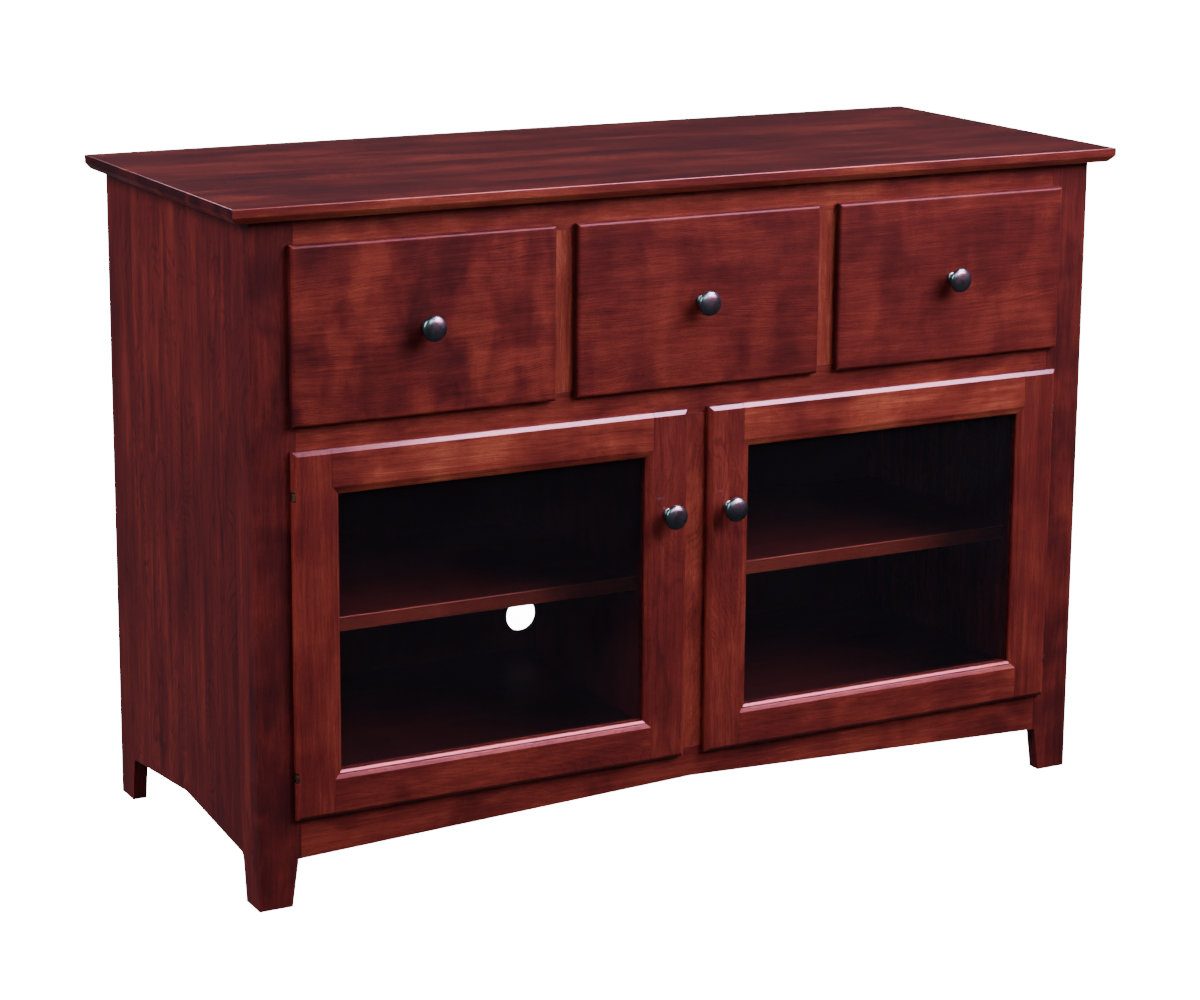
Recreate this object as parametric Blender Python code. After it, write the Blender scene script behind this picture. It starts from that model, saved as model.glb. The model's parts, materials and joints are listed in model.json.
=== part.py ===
"""Console television cabinet: three drawers above two glazed doors, in cherry.

Units are metres.  X runs along the cabinet, +Y is the back and +Z is up.  The sizes below are in
the cabinet's own frame: x = 0 is the middle, y = 0 is the front of the face frame and z = 0 is the
floor.  The empty "cabinet" sets that frame back, so that the world origin is under the middle of
the space that the whole piece takes up.
"""
import math

import bmesh
import bpy
from mathutils import Vector

# ---- Driving dimensions ---------------------------------------------------------------------

GAP = 0.0003                    # clearance between pieces that touch
HALF_GAP = GAP / 2

HEIGHT = 0.862
TOP_LENGTH = 1.250
TOP_THICKNESS = 0.019
TOP_OVERHANG = 0.024            # past the face frame, in front
TOP_BEVEL_WIDTH = 0.0074        # under the front and side edges
TOP_BEVEL_HEIGHT = 0.0085
TOP_EASE = 0.0008               # softened upper edge

BODY_WIDTH = 1.194
BODY_DEPTH = 0.491
STOCK = 0.019                   # solid boards
BACK_THICKNESS = 0.006

FOOT_WIDTH = 0.0436             # on the floor, seen from the front
FOOT_DEPTH = 0.0424             # on the floor, seen from the side
FOOT_TAPER = 0.0085             # how much wider the foot is where it meets the arch
FOOT_HEIGHT = 0.0597
FRONT_ARCH_TOP = 0.0794
SIDE_ARCH_TOP = 0.0770
SIDE_FILLET = 0.008
FILLET_STEPS = 4

OVERLAY = 0.008                 # how far a lip covers the face frame
LIP_WIDTH = 0.0095
LIP_THICKNESS = 0.010
LIP_GAP = 0.0015                # between a lip and the face frame
FRONT_THICKNESS = 0.019

FRONTS_HALF_WIDTH = 0.550       # outer edges of the doors and of the outer drawers
DRAWER_WIDTH = 0.348
DRAWER_BOTTOM = 0.596
DRAWER_TOP = 0.813
DRAWER_ROUND = 0.0048           # quarter round on the front edges
DRAWER_ROUND_STEPS = 4

DOOR_INNER_X = 0.0158
DOOR_BOTTOM = 0.111
DOOR_TOP = 0.567
DOOR_STILE = 0.059
DOOR_RAIL = 0.056
DOOR_CHAMFER_WIDTH = 0.0052
DOOR_CHAMFER_DEPTH = 0.0040

OUTER_BEVEL_WIDTH = 0.0046      # moulding around the glass: a bevel, a flat, a second bevel
OUTER_BEVEL_DEPTH = 0.0023
MOULDING_STEP = 0.0006          # from the first bevel down to the flat
MOULDING_FLAT = 0.0016
INNER_BEVEL_WIDTH = 0.0034
INNER_BEVEL_DEPTH = 0.0020
GLASS_SETBACK = 0.0090          # from the door's face to the glass
GLASS_THICKNESS = 0.0032
GLASS_REBATE = 0.0070
GLASS_STOP_CHAMFER = 0.002

DRAWER_BOX_BACK = 0.455
DRAWER_SIDE_THICKNESS = 0.012
DRAWER_SIDE_HEIGHT = 0.185
DRAWER_BACK_DROP = 0.012        # how far the back stops below the sides
DRAWER_FLOOR_THICKNESS = 0.006
DRAWER_FLOOR_LIFT = 0.015       # underside above the drawer side's lower edge
DRAWER_GROOVE_DEPTH = 0.006
GUIDE_WIDTH = 0.025
GUIDE_HEIGHT = 0.0115
GUIDE_CLEARANCE = 0.0012

SHELF_FRONT = 0.132
SHELF_DEPTH = 0.330
SHELF_TOP = 0.3146
CABLE_HOLE_RADIUS = 0.0236
CABLE_HOLE_Z = 0.168
CABLE_HOLE_STEPS = 32
NOTCH_DEPTH = 0.064             # cable notch in the partition's lower rear corner
NOTCH_HEIGHT = 0.115
NOTCH_RADIUS = 0.025
NOTCH_STEPS = 5

KNOB_LENGTH = 0.027
KNOB_STEPS = 24
DOOR_KNOB_X = 0.044
DOOR_KNOB_Z = 0.436

HINGE_INSET = 0.0025            # hinge axis, in from the door's edge
HINGE_AXIS_Y = -0.0065
HINGE_OFFSET = 0.054            # hinge centre, in from the door's top and bottom
BARREL_RADIUS = 0.0030
BARREL_HEIGHT = 0.009
BARREL_STEPS = 16
KNUCKLE_GAP = 0.0008
PIN_RADIUS = 0.0010
LEAF_THICKNESS = 0.0009
HINGE_WEB = 0.0014              # width of the web between a knuckle and its leaf
HINGE_WEB_OVERLAP = 0.0014      # how far the web runs into the knuckle
HINGE_STEP = 0.0002             # how much shorter each further part of a leaf is
LEAF_HEIGHT = 0.044
LEAF_SETBACK = 0.0005           # from the leaf's edge to the back of the face frame
DOOR_LEAF_WIDTH = 0.035
POCKET_HEIGHT = 0.012           # pocket for the hinge in the door's edge
POCKET_DEPTH = 0.011
POCKET_FRONT = 0.0099

CUT_MARGIN = 0.001              # how far a cutting solid reaches past what it cuts

# ---- Sizes that follow from them ------------------------------------------------------------

FACE_Y = -(LIP_GAP + LIP_THICKNESS)
FRONT_BACK_Y = FACE_Y + FRONT_THICKNESS
FRAME_Y = (KNOB_LENGTH - FACE_Y - BODY_DEPTH) / 2

CASE_TOP = HEIGHT - TOP_THICKNESS
HALF_BODY = BODY_WIDTH / 2
SIDE_INNER_X = HALF_BODY - STOCK
BACK_Y = BODY_DEPTH - BACK_THICKNESS

OPENING_HALF_WIDTH = FRONTS_HALF_WIDTH - OVERLAY
CENTRE_STILE_HALF = DOOR_INNER_X + OVERLAY
DOOR_OPENING_BOTTOM = DOOR_BOTTOM + OVERLAY
DOOR_OPENING_TOP = DOOR_TOP - OVERLAY
DRAWER_OPENING_BOTTOM = DRAWER_BOTTOM + OVERLAY
DRAWER_OPENING_TOP = DRAWER_TOP - OVERLAY

DRAWER_REVEAL = FRONTS_HALF_WIDTH - 1.5 * DRAWER_WIDTH
DRAWER_PITCH = DRAWER_WIDTH + DRAWER_REVEAL
DRAWER_BODY_HALF = DRAWER_WIDTH / 2 - LIP_WIDTH

SHELF_BOTTOM = SHELF_TOP - STOCK
DUST_PANEL_BOTTOM = DRAWER_OPENING_BOTTOM - STOCK
HINGE_AXIS_X = FRONTS_HALF_WIDTH - HINGE_INSET
MOULDING_WIDTH = OUTER_BEVEL_WIDTH + MOULDING_FLAT + INNER_BEVEL_WIDTH


# ---- Scene, materials and mesh helpers ------------------------------------------------------

def reset_scene():
    """Remove whatever objects the file holds."""
    for thing in list(bpy.data.objects):
        bpy.data.objects.remove(thing, do_unlink=True)


def make_material(name, colour, roughness, metallic=0.0):
    """A plain Principled material."""
    material = bpy.data.materials.new(name)
    material.use_nodes = True
    shader = material.node_tree.nodes["Principled BSDF"]
    shader.inputs["Base Color"].default_value = (*colour, 1.0)
    shader.inputs["Roughness"].default_value = roughness
    shader.inputs["Metallic"].default_value = metallic
    material.diffuse_color = (*colour, 1.0)
    return material


def make_empty(name, location, parent=None):
    """An empty at a place given in the cabinet's frame, or in the world without a parent."""
    empty = bpy.data.objects.new(name, None)
    empty.empty_display_size = 0.02
    empty.location = location
    if parent is not None:
        empty.parent = parent
    bpy.context.collection.objects.link(empty)
    return empty


def place(name, mesh, material, parent):
    """Link an object that shows a mesh, under its parent empty."""
    thing = bpy.data.objects.new(name, mesh)
    thing.parent = parent
    if material is not None and not mesh.materials:
        mesh.materials.append(material)
    bpy.context.collection.objects.link(thing)
    return thing


def finish(name, bm, material, parent, smooth_angle=None):
    """Turn a bmesh in the cabinet's frame into an object whose origin is its parent's."""
    bmesh.ops.recalc_face_normals(bm, faces=bm.faces[:])
    if parent is not CABINET:
        bmesh.ops.translate(bm, verts=bm.verts[:], vec=-parent.location)
    mesh = bpy.data.meshes.new(name)
    bm.to_mesh(mesh)
    bm.free()
    if smooth_angle is not None:
        mesh.shade_smooth()
        mesh.set_sharp_from_angle(angle=math.radians(smooth_angle))
    return place(name, mesh, material, parent)


def box_mesh(low, high):
    """A closed box between any two opposite corners."""
    size = Vector([abs(b - a) for a, b in zip(low, high)])
    middle = Vector([(a + b) / 2 for a, b in zip(low, high)])
    bm = bmesh.new()
    bmesh.ops.create_cube(bm, size=1.0)
    bmesh.ops.scale(bm, verts=bm.verts[:], vec=size)
    bmesh.ops.translate(bm, verts=bm.verts[:], vec=middle)
    return bm


def add_board(name, low, high, material, parent):
    """A rectangular board."""
    return finish(name, box_mesh(low, high), material, parent)


def add_outline(name, outline, axis, start, end, material, parent):
    """A flat outline given as (y, z), (x, z) or (x, y) points, extruded along x, y or z."""
    bm = bmesh.new()
    corners = []
    for first, second in outline:
        point = [first, second]
        point.insert("xyz".index(axis), start)
        corners.append(bm.verts.new(point))
    face = bm.faces.new(corners)
    extruded = bmesh.ops.extrude_face_region(bm, geom=[face])
    moved = [item for item in extruded["geom"] if isinstance(item, bmesh.types.BMVert)]
    travel = [0.0, 0.0, 0.0]
    travel["xyz".index(axis)] = end - start
    bmesh.ops.translate(bm, verts=moved, vec=travel)
    return finish(name, bm, material, parent)


def loft_mesh(loops, ring):
    """Join loops of points with quads; a ring closes on itself, and a stack gets two caps."""
    bm = bmesh.new()
    rows = [[bm.verts.new(point) for point in loop] for loop in loops]
    pairs = list(zip(rows, rows[1:]))
    if ring:
        pairs.append((rows[-1], rows[0]))
    else:
        bm.faces.new(rows[0])
        bm.faces.new(rows[-1])
    for near, far in pairs:
        for i in range(len(near)):
            j = (i + 1) % len(near)
            bm.faces.new((near[i], near[j], far[j], far[i]))
    return bm


def upright_loop(x0, x1, z0, z1, y):
    """A rectangle that faces the front."""
    return [(x0, y, z0), (x1, y, z0), (x1, y, z1), (x0, y, z1)]


def level_loop(x0, x1, y0, y1, z):
    """A rectangle that lies flat."""
    return [(x0, y0, z), (x1, y0, z), (x1, y1, z), (x0, y1, z)]


def turned_mesh(profile, centre, axis, steps, ring=False):
    """Turn (radius, distance) points about the y or z axis through a centre."""
    loops = []
    for radius, distance in profile:
        loop = []
        for i in range(steps):
            angle = 2 * math.pi * i / steps
            across = radius * math.cos(angle)
            beside = radius * math.sin(angle)
            if axis == "y":
                loop.append((centre[0] + across, centre[1] + distance, centre[2] + beside))
            else:
                loop.append((centre[0] + across, centre[1] + beside, centre[2] + distance))
        loops.append(loop)
    return loft_mesh(loops, ring)


def hide_tool(thing):
    """Mark an object that only shapes others."""
    thing.hide_render = True
    thing.display_type = "WIRE"


def combine(target, tool, operation):
    """Add an exact Boolean to an object."""
    modifier = target.modifiers.new(operation.title(), "BOOLEAN")
    modifier.operation = operation
    modifier.solver = "EXACT"
    modifier.object = tool
    hide_tool(tool)


# ---- Case -----------------------------------------------------------------------------------

def build_top():
    """The overhanging top: square at the back, bevelled underneath on its other edges."""
    half = TOP_LENGTH / 2
    front = -TOP_OVERHANG
    bevel = TOP_BEVEL_WIDTH
    low = CASE_TOP + GAP
    edge = CASE_TOP + TOP_BEVEL_HEIGHT
    loops = [
        level_loop(-half + bevel, half - bevel, front + bevel, BODY_DEPTH, low),
        level_loop(-half, half, front, BODY_DEPTH, edge),
        level_loop(-half, half, front, BODY_DEPTH, HEIGHT - TOP_EASE),
        level_loop(-half + TOP_EASE, half - TOP_EASE, front + TOP_EASE, BODY_DEPTH, HEIGHT),
    ]
    finish("top_panel", loft_mesh(loops, ring=False), CHERRY, CABINET)


def arc(centre, radius, start, end, steps):
    """Points along an arc, with angles in degrees."""
    points = []
    for i in range(steps + 1):
        angle = math.radians(start + (end - start) * i / steps)
        points.append((centre[0] + radius * math.cos(angle), centre[1] + radius * math.sin(angle)))
    return points


def side_outline():
    """The side board in (y, z), with two tapered feet and a shallow pointed arch."""
    front = STOCK + GAP
    back = BODY_DEPTH
    front_foot = FOOT_DEPTH + FOOT_TAPER
    back_foot = back - FOOT_DEPTH - FOOT_TAPER
    middle = BODY_DEPTH / 2
    turn = SIDE_FILLET
    taper = math.degrees(math.atan2(FOOT_TAPER, FOOT_HEIGHT))
    slope = math.degrees(math.atan2(SIDE_ARCH_TOP - FOOT_HEIGHT, middle - front_foot))
    front_bend = arc((front_foot + turn, FOOT_HEIGHT - turn), turn, 180 - taper, 90 - slope,
                     FILLET_STEPS)
    back_bend = arc((back_foot - turn, FOOT_HEIGHT - turn), turn, 90 + slope, taper,
                    FILLET_STEPS)
    return ([(front, 0.0), (FOOT_DEPTH, 0.0)] + front_bend + [(middle, SIDE_ARCH_TOP)] + back_bend
            + [(back - FOOT_DEPTH, 0.0), (back, 0.0), (back, CASE_TOP), (front, CASE_TOP)])


def build_sides():
    """Solid side boards that stand behind the face frame."""
    for side, word in ((-1, "left"), (1, "right")):
        add_outline(f"side_panel_{word}", side_outline(), "x", side * SIDE_INNER_X,
                    side * HALF_BODY, CHERRY, CABINET)


def build_face_frame():
    """Stiles and rails, with the feet and the pointed arch cut in their lower edges."""
    shoulder = HALF_BODY - FOOT_WIDTH - FOOT_TAPER
    for side, word in ((-1, "left"), (1, "right")):
        stile = [(HALF_BODY, 0.0), (HALF_BODY, CASE_TOP), (OPENING_HALF_WIDTH, CASE_TOP),
                 (OPENING_HALF_WIDTH, FOOT_HEIGHT), (shoulder, FOOT_HEIGHT),
                 (HALF_BODY - FOOT_WIDTH, 0.0)]
        stile = [(side * x, z) for x, z in stile]
        add_outline(f"front_stile_{word}", stile, "y", 0.0, STOCK, CHERRY, CABINET)

    reach = OPENING_HALF_WIDTH - GAP
    bottom_rail = [(-reach, FOOT_HEIGHT), (0.0, FRONT_ARCH_TOP), (reach, FOOT_HEIGHT),
                   (reach, DOOR_OPENING_BOTTOM), (-reach, DOOR_OPENING_BOTTOM)]
    add_outline("bottom_rail", bottom_rail, "y", 0.0, STOCK, CHERRY, CABINET)
    add_board("middle_rail", (-reach, 0.0, DOOR_OPENING_TOP), (reach, STOCK, DRAWER_OPENING_BOTTOM),
              CHERRY, CABINET)
    add_board("top_rail", (-reach, 0.0, DRAWER_OPENING_TOP), (reach, STOCK, CASE_TOP), CHERRY,
              CABINET)
    add_board("centre_stile", (-CENTRE_STILE_HALF, 0.0, DOOR_OPENING_BOTTOM + GAP),
              (CENTRE_STILE_HALF, STOCK, DOOR_OPENING_TOP - GAP), CHERRY, CABINET)
    inner = DRAWER_WIDTH / 2 - OVERLAY
    outer = DRAWER_PITCH - inner
    for side, word in ((-1, "left"), (1, "right")):
        add_board(f"drawer_stile_{word}", (side * inner, 0.0, DRAWER_OPENING_BOTTOM + GAP),
                  (side * outer, STOCK, DRAWER_OPENING_TOP - GAP), CHERRY, CABINET)


def build_interior():
    """Floor, dust panel, partition, back and shelves."""
    reach = SIDE_INNER_X - GAP
    front = STOCK + GAP
    back = BACK_Y - GAP
    add_board("cabinet_floor", (-reach, front, DOOR_OPENING_BOTTOM - STOCK),
              (reach, back, DOOR_OPENING_BOTTOM), CHERRY_INSIDE, CABINET)
    add_board("dust_panel", (-reach, front, DUST_PANEL_BOTTOM),
              (reach, back, DRAWER_OPENING_BOTTOM), CHERRY_INSIDE, CABINET)

    low = DOOR_OPENING_BOTTOM + GAP
    high = DUST_PANEL_BOTTOM - GAP
    notch_front = back - NOTCH_DEPTH
    notch_top = low + NOTCH_HEIGHT
    corner = arc((notch_front + NOTCH_RADIUS, notch_top - NOTCH_RADIUS), NOTCH_RADIUS, 180, 90,
                 NOTCH_STEPS)
    partition = ([(front, low), (notch_front, low)] + corner
                 + [(back, notch_top), (back, high), (front, high)])
    add_outline("centre_partition", partition, "x", -STOCK / 2, STOCK / 2, CHERRY_INSIDE, CABINET)

    panel = add_board("back_panel", (-reach, BACK_Y, DOOR_OPENING_BOTTOM - STOCK),
                      (reach, BODY_DEPTH, CASE_TOP), CHERRY_INSIDE, CABINET)
    drill = turned_mesh([(CABLE_HOLE_RADIUS, -BACK_THICKNESS), (CABLE_HOLE_RADIUS, BACK_THICKNESS)],
                        (0.0, BODY_DEPTH - BACK_THICKNESS / 2, CABLE_HOLE_Z), "y",
                        CABLE_HOLE_STEPS)
    combine(panel, finish("cable_hole_cutter", drill, None, CABINET), "DIFFERENCE")

    for side, word in ((-1, "left"), (1, "right")):
        add_board(f"shelf_{word}", (side * (STOCK / 2 + GAP), SHELF_FRONT, SHELF_BOTTOM),
                  (side * reach, SHELF_FRONT + SHELF_DEPTH, SHELF_TOP), CHERRY_INSIDE, CABINET)


# ---- Knobs and hinges -----------------------------------------------------------------------

def knob_profile():
    """Radius and distance from the base of a turned mushroom knob."""
    return [(0.0075, 0.0), (0.0075, 0.0018), (0.0058, 0.0030), (0.0050, 0.0070),
            (0.0058, 0.0110), (0.0095, 0.0145), (0.0142, 0.0172), (0.0158, 0.0196),
            (0.0158, 0.0212), (0.0146, 0.0234), (0.0108, 0.0256), (0.0058, 0.0267),
            (0.0012, KNOB_LENGTH)]


def add_knob(name, x, z, parent):
    """A knob on the face of a door or a drawer."""
    profile = [(radius, -distance) for radius, distance in knob_profile()]
    bm = turned_mesh(profile, (x, FACE_Y - GAP, z), "y", KNOB_STEPS)
    finish(name, bm, PEWTER, parent, smooth_angle=40)


def join_parts(name, meshes, material, parent):
    """Fuse several overlapping bmeshes into the first one."""
    base = finish(name, meshes[0], material, parent, smooth_angle=30)
    for number, mesh in enumerate(meshes[1:], start=1):
        combine(base, finish(f"{name}_tool_{number}", mesh, None, parent), "UNION")


def add_frame_leaf(name, side, z):
    """The hinge half on the stile: two knuckles on a riveted pin, and a leaf around the edge."""
    x = side * HINGE_AXIS_X
    half = BARREL_HEIGHT / 2
    inner = half / 3 + KNUCKLE_GAP / 2
    spool = [(BARREL_RADIUS, -half), (BARREL_RADIUS, -inner), (PIN_RADIUS, -inner),
             (PIN_RADIUS, inner), (BARREL_RADIUS, inner), (BARREL_RADIUS, half)]
    leaf_x = side * (OPENING_HALF_WIDTH - GAP)
    leaf_inner_x = leaf_x - side * LEAF_THICKNESS
    neck_y = -GAP - LEAF_THICKNESS
    web = HINGE_WEB / 2
    parts = [turned_mesh(spool, (x, HINGE_AXIS_Y, z), "z", BARREL_STEPS)]
    for low, high in ((-half, -inner), (inner, half)):
        parts.append(box_mesh(
            (x - web, HINGE_AXIS_Y + BARREL_RADIUS - HINGE_WEB_OVERLAP, z + low + HINGE_STEP),
            (x + web, neck_y + LEAF_THICKNESS / 2, z + high - HINGE_STEP)))
    neck_half = half - 2 * HINGE_STEP
    parts.append(box_mesh((x + side * HINGE_WEB, neck_y, z - neck_half),
                          (leaf_x - side * LEAF_THICKNESS / 2, -GAP, z + neck_half)))
    parts.append(box_mesh((leaf_x, neck_y, z - LEAF_HEIGHT / 2),
                          (leaf_inner_x, STOCK - LEAF_SETBACK, z + LEAF_HEIGHT / 2)))
    join_parts(name, parts, NICKEL, CABINET)


def add_door_leaf(name, side, z, parent):
    """The hinge half on the door: the middle knuckle and a leaf that wraps to the door's back."""
    x = side * HINGE_AXIS_X
    half = BARREL_HEIGHT / 6 - KNUCKLE_GAP / 2
    bore = PIN_RADIUS + GAP
    sleeve = [(BARREL_RADIUS, -half), (BARREL_RADIUS, half), (bore, half), (bore, -half)]
    wall_x = side * (FRONTS_HALF_WIDTH - POCKET_DEPTH + GAP)
    outer_x = wall_x + side * LEAF_THICKNESS
    leaf_y = FRONT_BACK_Y + GAP
    neck = LEAF_THICKNESS / 2
    start_x = x - side * (bore + PIN_RADIUS / 2)
    parts = [turned_mesh(sleeve, (x, HINGE_AXIS_Y, z), "z", BARREL_STEPS, ring=True)]
    parts.append(box_mesh((start_x, HINGE_AXIS_Y - neck, z - half),
                          (wall_x, HINGE_AXIS_Y + neck, z + half)))
    strap = half - HINGE_STEP
    parts.append(box_mesh((wall_x - side * HINGE_STEP, HINGE_AXIS_Y, z - strap),
                          (outer_x, leaf_y + LEAF_THICKNESS / 2, z + strap)))
    parts.append(box_mesh(
        (outer_x, leaf_y, z - LEAF_HEIGHT / 2),
        (outer_x - side * DOOR_LEAF_WIDTH, leaf_y + LEAF_THICKNESS, z + LEAF_HEIGHT / 2)))
    join_parts(name, parts, NICKEL, parent)


# ---- Doors ----------------------------------------------------------------------------------

def door_section():
    """The door frame's cross-section: (from a side edge, from top or bottom edge, y)."""
    face_x = DOOR_STILE - MOULDING_WIDTH
    face_z = DOOR_RAIL - MOULDING_WIDTH
    glass_y = FACE_Y + GLASS_SETBACK
    section = [(0.0, 0.0, -LIP_GAP), (0.0, 0.0, FACE_Y + DOOR_CHAMFER_DEPTH),
               (DOOR_CHAMFER_WIDTH, DOOR_CHAMFER_WIDTH, FACE_Y), (face_x, face_z, FACE_Y)]
    outer = OUTER_BEVEL_WIDTH
    inner = outer + MOULDING_FLAT
    flat_y = FACE_Y + OUTER_BEVEL_DEPTH + MOULDING_STEP
    section.append((face_x + outer, face_z + outer, FACE_Y + OUTER_BEVEL_DEPTH))
    section.append((face_x + outer, face_z + outer, flat_y))
    section.append((face_x + inner, face_z + inner, flat_y))
    section.append((DOOR_STILE, DOOR_RAIL, flat_y + INNER_BEVEL_DEPTH))
    section.append((DOOR_STILE, DOOR_RAIL, glass_y - GAP))
    rebate_x = DOOR_STILE - GLASS_REBATE
    rebate_z = DOOR_RAIL - GLASS_REBATE
    section.append((rebate_x, rebate_z, glass_y - GAP))
    section.append((rebate_x, rebate_z, FRONT_BACK_Y))
    section.append((LIP_WIDTH, LIP_WIDTH, FRONT_BACK_Y))
    section.append((LIP_WIDTH, LIP_WIDTH, -LIP_GAP))
    return section


def stile_region(height):
    """The part of the door's outline that belongs to a stile, measured from its edge."""
    past = MOULDING_WIDTH + CUT_MARGIN
    x = DOOR_STILE - MOULDING_WIDTH - HALF_GAP
    z = DOOR_RAIL - MOULDING_WIDTH + HALF_GAP
    outside = -CUT_MARGIN
    return [(outside, outside), (x, outside), (x, z), (x + past, z + past),
            (x + past, height - z - past), (x, height - z), (x, height - outside),
            (outside, height - outside)]


def rail_region(width):
    """The part of the door's outline that belongs to the bottom rail."""
    past = MOULDING_WIDTH + CUT_MARGIN
    x = DOOR_STILE - MOULDING_WIDTH + HALF_GAP
    z = DOOR_RAIL - MOULDING_WIDTH - HALF_GAP
    outside = -CUT_MARGIN
    return [(x, outside), (width - x, outside), (width - x, z), (width - x - past, z + past),
            (x + past, z + past), (x, z)]


def door_member(name, section_mesh, region, parent):
    """Cut one stile or rail out of the moulded door frame."""
    member = place(name, section_mesh, CHERRY, parent)
    tool = add_outline(f"{name}_region", region, "y", FACE_Y - CUT_MARGIN,
                       FRONT_BACK_Y + CUT_MARGIN, None, parent)
    combine(member, tool, "INTERSECT")
    return member


def ring_loops(x0, x1, section):
    """The four-cornered loops of a frame that has the given cross-section."""
    return [upright_loop(x0 + dx, x1 - dx, DOOR_BOTTOM + dz, DOOR_TOP - dz, y)
            for dx, dz, y in section]


def build_door(side, word):
    """One glazed door: two stiles, two rails, glass, its stop, a knob and two hinges."""
    pivot = make_empty(f"door_{word}_pivot", (side * HINGE_AXIS_X, HINGE_AXIS_Y, DOOR_BOTTOM),
                       CABINET)
    x0, x1 = sorted((side * DOOR_INNER_X, side * FRONTS_HALF_WIDTH))
    width = x1 - x0
    height = DOOR_TOP - DOOR_BOTTOM

    whole = finish(f"door_{word}_blank", loft_mesh(ring_loops(x0, x1, door_section()), ring=True),
                   CHERRY, pivot)
    hide_tool(whole)
    stile = stile_region(height)
    rail = rail_region(width)
    hinge_edge = side * FRONTS_HALF_WIDTH
    knob_edge = side * DOOR_INNER_X
    hinge_stile = door_member(f"door_{word}_hinge_stile", whole.data,
                              [(hinge_edge - side * x, DOOR_BOTTOM + z) for x, z in stile], pivot)
    door_member(f"door_{word}_knob_stile", whole.data,
                [(knob_edge + side * x, DOOR_BOTTOM + z) for x, z in stile], pivot)
    door_member(f"door_{word}_bottom_rail", whole.data,
                [(x0 + x, DOOR_BOTTOM + z) for x, z in rail], pivot)
    door_member(f"door_{word}_top_rail", whole.data,
                [(x0 + x, DOOR_TOP - z) for x, z in rail], pivot)

    inset_x = DOOR_STILE - GLASS_REBATE + GAP
    inset_z = DOOR_RAIL - GLASS_REBATE + GAP
    glass_front = FACE_Y + GLASS_SETBACK
    glass_back = glass_front + GLASS_THICKNESS
    add_board(f"door_{word}_glass", (x0 + inset_x, glass_front, DOOR_BOTTOM + inset_z),
              (x1 - inset_x, glass_back, DOOR_TOP - inset_z), GLASS, pivot)
    bevel = GLASS_STOP_CHAMFER
    stop = [(inset_x, inset_z, glass_back + GAP), (DOOR_STILE, DOOR_RAIL, glass_back + GAP),
            (DOOR_STILE, DOOR_RAIL, FRONT_BACK_Y - bevel),
            (DOOR_STILE - bevel, DOOR_RAIL - bevel, FRONT_BACK_Y),
            (inset_x, inset_z, FRONT_BACK_Y)]
    finish(f"door_{word}_glass_stop", loft_mesh(ring_loops(x0, x1, stop), ring=True), CHERRY,
           pivot)
    add_knob(f"door_{word}_knob", side * DOOR_KNOB_X, DOOR_KNOB_Z, pivot)

    for level, z in (("lower", DOOR_BOTTOM + HINGE_OFFSET), ("upper", DOOR_TOP - HINGE_OFFSET)):
        pocket = box_mesh(
            (hinge_edge + side * CUT_MARGIN, -POCKET_FRONT, z - POCKET_HEIGHT / 2),
            (hinge_edge - side * POCKET_DEPTH, FRONT_BACK_Y + CUT_MARGIN, z + POCKET_HEIGHT / 2))
        combine(hinge_stile, finish(f"door_{word}_{level}_pocket", pocket, None, pivot),
                "DIFFERENCE")
        add_frame_leaf(f"hinge_{word}_{level}_frame_leaf", side, z)
        add_door_leaf(f"hinge_{word}_{level}_door_leaf", side, z, pivot)


# ---- Drawers --------------------------------------------------------------------------------

def drawer_section():
    """The drawer front's edge, from face to back: (distance in from the lip's edge, y)."""
    section = []
    for i in range(DRAWER_ROUND_STEPS + 1):
        angle = math.pi / 2 * i / DRAWER_ROUND_STEPS
        inset = DRAWER_ROUND * (1 - math.sin(angle))
        section.append((inset, FACE_Y + DRAWER_ROUND * (1 - math.cos(angle))))
    section.append((0.0, -LIP_GAP))
    section.append((LIP_WIDTH, -LIP_GAP))
    section.append((LIP_WIDTH, FRONT_BACK_Y))
    return section


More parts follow.
